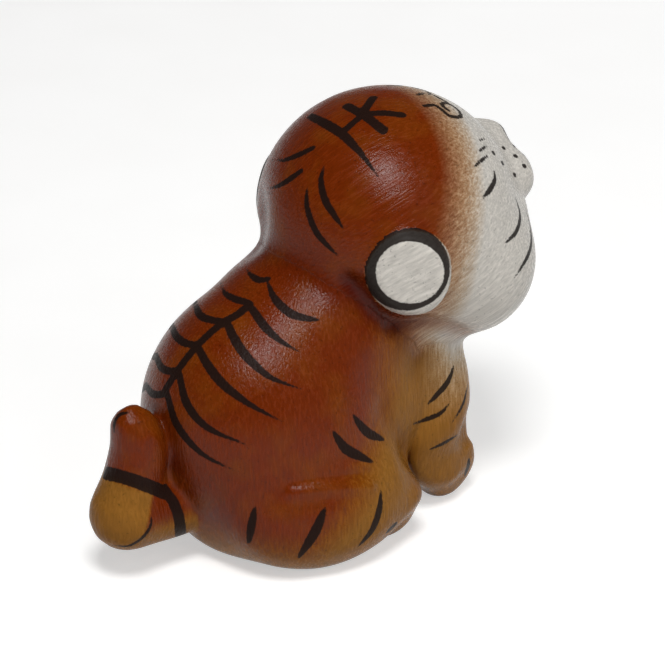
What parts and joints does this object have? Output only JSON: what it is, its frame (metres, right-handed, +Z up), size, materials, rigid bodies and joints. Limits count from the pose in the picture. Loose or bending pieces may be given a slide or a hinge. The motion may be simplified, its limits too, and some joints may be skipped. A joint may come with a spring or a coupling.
{
  "type": "tea pet",
  "caption": "Seated clay tiger tea pet with a round upturned head, disc ears and raised tail, painted in stripes; hollow, stands on its flat base on a tea tray to have tea poured over it.",
  "frame": {"origin": "on the floor, in the underside of the base plate, in the animal's middle plane", "axes": "+Z up; the animal faces -Y with its tail towards +Y; its left side is +X"},
  "size_m": [0.0528, 0.0925, 0.0805],
  "materials": {
    "red_brown_clay": "satin, burnished and sprayed red-brown",
    "ochre_clay": "satin, sprayed ochre",
    "white_slip_clay": "satin white slip",
    "bare_clay": "matt bare fired clay"
  },
  "bodies": {
    "root": {"body_left_half": "red_brown_clay", "body_right_half": "red_brown_clay", "head_left_half": "red_brown_clay", "head_right_half": "red_brown_clay", "tail": "red_brown_clay", "foreleg_left": "ochre_clay", "foreleg_right": "ochre_clay", "fore_paw_left": "ochre_clay", "fore_paw_right": "ochre_clay", "hind_paw_left": "ochre_clay", "hind_paw_right": "ochre_clay", "ear_left": "white_slip_clay", "ear_right": "white_slip_clay", "whisker_pad_left": "white_slip_clay", "whisker_pad_right": "white_slip_clay", "nose": "white_slip_clay", "chin": "white_slip_clay", "base_plate": "bare_clay"}
  },
  "joints": []
}
